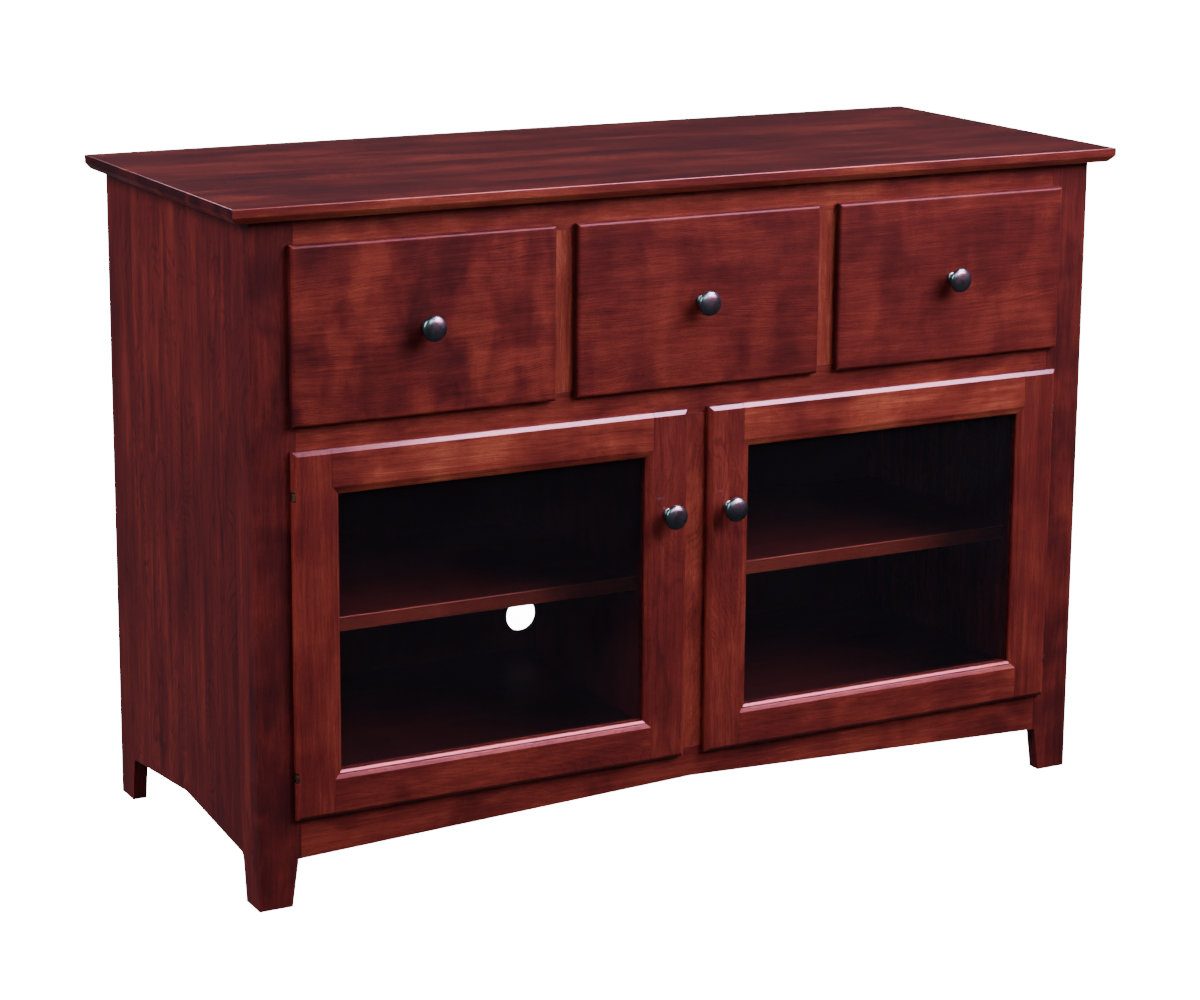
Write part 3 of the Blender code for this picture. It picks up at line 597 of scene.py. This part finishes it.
def build_knob(name):
    """A finely turned knob with the CAD knob's profile."""
    low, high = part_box(name)
    middle = (low + high) / 2
    radii = {}
    for vertex in frame["nodes"][name].data.vertices:
        distance = round(high.y - vertex.co.y, KNOB_DIGITS)
        radii[distance] = math.hypot(vertex.co.x - middle.x, vertex.co.z - middle.z)
    points = [(radii[distance], distance) for distance in sorted(radii)]
    bm = bmesh.new()
    turned(bm, smooth_profile(points, KNOB_SUBSTEPS), (middle.x, high.y, middle.z), (0, -1, 0),
           KNOB_SEGMENTS)
    metal_piece(name + "_metal", bm, PEWTER, NODE_BODY[name], name)


def add_screw(bm, place, axis, radius, height):
    """Add a domed screw head with a cross recess to a bmesh."""
    start = len(bm.verts)
    profile = [(across * radius, up * height) for across, up in SCREW_PROFILE]
    turned(bm, profile, place, axis, SCREW_SEGMENTS)
    bm.verts.ensure_lookup_table()
    inner_row = start + (len(profile) - 1) * SCREW_SEGMENTS
    inner = bm.verts[inner_row:inner_row + SCREW_SEGMENTS]
    outer = bm.verts[inner_row - SCREW_SEGMENTS:inner_row]
    sink = -SCREW_RECESS * height * Vector(axis)
    for vertex in inner:
        vertex.co += sink
    for arm in outer[::SCREW_SEGMENTS // 4]:
        arm.co += sink


def screw_set(name, body, places, axis, radius, height):
    bm = bmesh.new()
    for place in places:
        add_screw(bm, place, axis, radius, height)
    metal_piece(name, bm, NICKEL, body)


def build_hinge_screws(word, side, level):
    """Two screws through each leaf of a hinge."""
    door_low, door_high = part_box(f"hinge_{word}_{level}_door_leaf")
    frame_low, frame_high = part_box(f"hinge_{word}_{level}_frame_leaf")
    middle = (door_low.z + door_high.z) / 2
    levels = (middle - LEAF_SCREW_SPREAD, middle + LEAF_SCREW_SPREAD)
    x = (door_low.x + door_high.x) / 2 - side * DOOR_SCREW_SHIFT
    screw_set(f"hinge_{word}_{level}_door_screws", f"door_{word}",
              [(x, door_high.y, z) for z in levels], (0, 1, 0),
              LEAF_SCREW_RADIUS, LEAF_SCREW_HEIGHT)
    x = frame_low.x if side > 0 else frame_high.x
    screw_set(f"hinge_{word}_{level}_frame_screws", "cabinet",
              [(x, frame_high.y - FRAME_SCREW_MARGIN, z) for z in levels], (-side, 0, 0),
              LEAF_SCREW_RADIUS, LEAF_SCREW_HEIGHT)


def build_knob_screw(knob, panel):
    """The pan head behind a knob, on the back of its door or drawer front."""
    low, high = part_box(knob)
    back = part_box(panel)[1].y
    place = ((low.x + high.x) / 2, back, (low.z + high.z) / 2)
    screw_set(knob + "_screw", NODE_BODY[knob], [place], (0, 1, 0), KNOB_SCREW_RADIUS,
              KNOB_SCREW_HEIGHT)


def build_back_screws():
    """Small screws around the back panel and down its middle."""
    low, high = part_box("back_panel")
    left, right = low.x + BACK_SCREW_MARGIN, high.x - BACK_SCREW_MARGIN
    bottom, top = low.z + BACK_SCREW_MARGIN, high.z - BACK_SCREW_MARGIN
    places = []
    for i in range(BACK_SCREWS_ACROSS):
        x = left + (right - left) * i / (BACK_SCREWS_ACROSS - 1)
        places.extend([(x, high.y, bottom), (x, high.y, top)])
    for i in range(1, BACK_SCREWS_UPRIGHT - 1):
        z = bottom + (top - bottom) * i / (BACK_SCREWS_UPRIGHT - 1)
        places.extend([(x, high.y, z) for x in (left, 0.0, right)])
    screw_set("back_panel_screws", "cabinet", places, (0, 1, 0), BACK_SCREW_RADIUS,
              BACK_SCREW_HEIGHT)


def build_shelf_pins(word):
    """Four pins under a shelf."""
    low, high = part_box(f"shelf_{word}")
    profile = [(PIN_RADIUS, 0.0), (PIN_RADIUS, PIN_LENGTH - PIN_CHAMFER),
               (PIN_RADIUS - PIN_CHAMFER, PIN_LENGTH)]
    bm = bmesh.new()
    for x, outward in ((low.x, 1), (high.x, -1)):
        for y in (low.y + PIN_SETBACK, high.y - PIN_SETBACK):
            turned(bm, profile, (x, y, low.z - PIN_RADIUS), (outward, 0, 0), SCREW_SEGMENTS)
    metal_piece(f"shelf_{word}_pins", bm, NICKEL, "cabinet")


def build_metalwork():
    for name in frame["nodes"]:
        if name.endswith("knob"):
            build_knob(name)
    for word, side in (("left", -1), ("right", 1)):
        for level in ("lower", "upper"):
            build_hinge_screws(word, side, level)
        build_knob_screw(f"door_{word}_knob", f"door_{word}_knob_stile")
        build_shelf_pins(word)
    for word in ("left", "centre", "right"):
        build_knob_screw(f"drawer_{word}_knob", f"drawer_{word}_front")
    build_back_screws()


def finish_kept_nodes():
    """Give the panes and the hinge leaves, which stay as the CAD has them, their materials."""
    for name, node in frame["nodes"].items():
        if name.endswith("glass"):
            material = GLASS
        elif name.endswith("leaf"):
            material = NICKEL
            ease = node.modifiers.new("ease", "BEVEL")
            ease.angle_limit = SHARP_ANGLE
            ease.width = LEAF_ARRIS
            ease.segments = LEAF_ARRIS_STEPS
        else:
            continue
        node.data.materials.clear()
        node.data.materials.append(material)


# ---- Stage ----------------------------------------------------------------------------------

def build_camera():
    camera = bpy.data.cameras.new("camera")
    camera.lens = CAMERA_LENS
    camera.sensor_width = CAMERA_SENSOR
    camera.shift_y = CAMERA_SHIFT_Y
    camera.clip_start = CAMERA_NEAR
    camera.clip_end = 4 * STAGE_RADIUS
    holder = bpy.data.objects.new("camera", camera)
    flat = math.cos(CAMERA_PITCH)
    aim = Vector((math.sin(CAMERA_YAW) * flat, math.cos(CAMERA_YAW) * flat,
                  math.sin(CAMERA_PITCH)))
    turn = aim.to_track_quat("-Z", "Y").to_matrix().to_4x4()
    holder.matrix_world = (Matrix.Translation(CAMERA_PLACE) @ turn
                           @ Matrix.Rotation(-CAMERA_ROLL, 4, "Z"))
    bpy.context.scene.collection.objects.link(holder)
    bpy.context.scene.camera = holder


def stage_piece(name, mesh, material):
    """Link a part of the stage, which the camera sees but which lights nothing."""
    mesh.materials.append(material)
    thing = bpy.data.objects.new(name, mesh)
    bpy.context.scene.collection.objects.link(thing)
    thing.visible_diffuse = False
    thing.visible_glossy = False
    return thing


def build_floor():
    n = Nodes("studio_floor")
    cloud = n.noise(n.object_place(), (1.5, 1.5, 1.5))
    pale = n.ramp(cloud, [(0.3, (0.86, 0.86, 0.87)), (0.7, (0.89, 0.89, 0.90))])
    n.finish(Base_Color=pale, Roughness=0.9, Specular_IOR_Level=0.0, Emission_Color=pale,
             Emission_Strength=FLOOR_GLOW)
    half = STAGE_RADIUS
    mesh = bpy.data.meshes.new("studio_floor")
    mesh.from_pydata([(-half, -half, 0), (half, -half, 0), (half, half, 0), (-half, half, 0)],
                     [], [(0, 1, 2, 3)])
    stage_piece("studio_floor", mesh, n.material)


def build_backdrop():
    """A pale dome behind everything."""
    n = Nodes("studio_backdrop")
    n.finish(Base_Color=(0.0, 0.0, 0.0, 1.0), Specular_IOR_Level=0.0,
             Emission_Color=(0.98, 0.98, 1.0, 1.0), Emission_Strength=BACKDROP_GLOW)
    bm = bmesh.new()
    bmesh.ops.create_uvsphere(bm, u_segments=DOME_SEGMENTS, v_segments=DOME_SEGMENTS // 2,
                              radius=STAGE_RADIUS)
    mesh = bpy.data.meshes.new("studio_backdrop")
    bm.to_mesh(mesh)
    bm.free()
    dome = stage_piece("studio_backdrop", mesh, n.material)
    dome.visible_shadow = False


def build_world():
    """The dim studio that the varnish reflects."""
    world = bpy.data.worlds.new("studio")
    world.use_nodes = True
    background = world.node_tree.nodes["Background"]
    background.inputs["Color"].default_value = STUDIO_COLOUR
    background.inputs["Strength"].default_value = STUDIO_GLOW
    world.cycles_visibility.diffuse = False
    bpy.context.scene.world = world


def add_softbox(name, direction, distance, size, watts, colour=(1.0, 1.0, 1.0), strip=False,
                on_wood=True, on_varnish=True):
    """A rectangular softbox that faces the middle of the cabinet from a direction.

    A strip is turned so that its long side runs along the cabinet's front.  A light can be
    kept off the wood itself, or out of the reflections in varnish, glass and metal.
    """
    low, high = CAD_BOUNDS
    middle = (Vector(low) + Vector(high)) / 2
    light = bpy.data.lights.new(name, "AREA")
    light.shape = "RECTANGLE"
    light.size, light.size_y = size
    light.energy = watts
    light.color = colour
    holder = bpy.data.objects.new(name, light)
    away = Vector(direction).normalized()
    holder.location = middle + away * distance
    aim = Vector((0.0, -away.y, -away.z)) if strip else -away
    holder.rotation_euler = aim.to_track_quat("-Z", "Y").to_euler()
    holder.visible_diffuse = on_wood
    holder.visible_glossy = on_varnish
    bpy.context.scene.collection.objects.link(holder)


def build_lights():
    """A key and fills that light the wood, then softboxes that only the shiny parts mirror."""
    add_softbox("key", direction=(0.50, -0.66, 0.62), distance=3.6, size=(3.0, 2.4), watts=208,
                on_varnish=False)
    add_softbox("left_fill", direction=(-1.0, -0.20, 0.70), distance=4.0, size=(2.2, 1.8),
                watts=165, colour=(1.0, 0.88, 1.0))
    add_softbox("front_fill", direction=(-0.40, -1.0, 0.30), distance=4.2, size=(1.6, 1.2),
                watts=11, on_varnish=False)
    add_softbox("rear_fill", direction=(0.10, 1.0, 0.14), distance=4.0, size=(3.0, 1.6),
                watts=120, on_varnish=False)
    add_softbox("high_sheen", direction=(0.49, -0.43, 0.755), distance=3.6, size=(1.7, 0.8),
                watts=350, colour=(1.0, 0.52, 0.88), strip=True, on_wood=False)
    add_softbox("low_sheen", direction=(0.46, -0.715, 0.527), distance=3.36, size=(1.9, 0.75),
                watts=430, colour=(1.0, 0.24, 0.40), strip=True, on_wood=False)
    add_softbox("front_sheen", direction=(-0.12, -0.76, 0.56), distance=3.4, size=(1.2, 1.0),
                watts=34, colour=(0.9, 0.95, 1.0), on_wood=False)
    add_softbox("back_sheen", direction=(-0.16, 0.86, 0.50), distance=4.0, size=(1.2, 0.4),
                watts=14, colour=(1.0, 0.80, 1.0), on_wood=False)


build_camera()
build_floor()
build_backdrop()
build_world()
build_lights()
build_case()
build_drawers()
build_doors()
build_metalwork()
finish_kept_nodes()
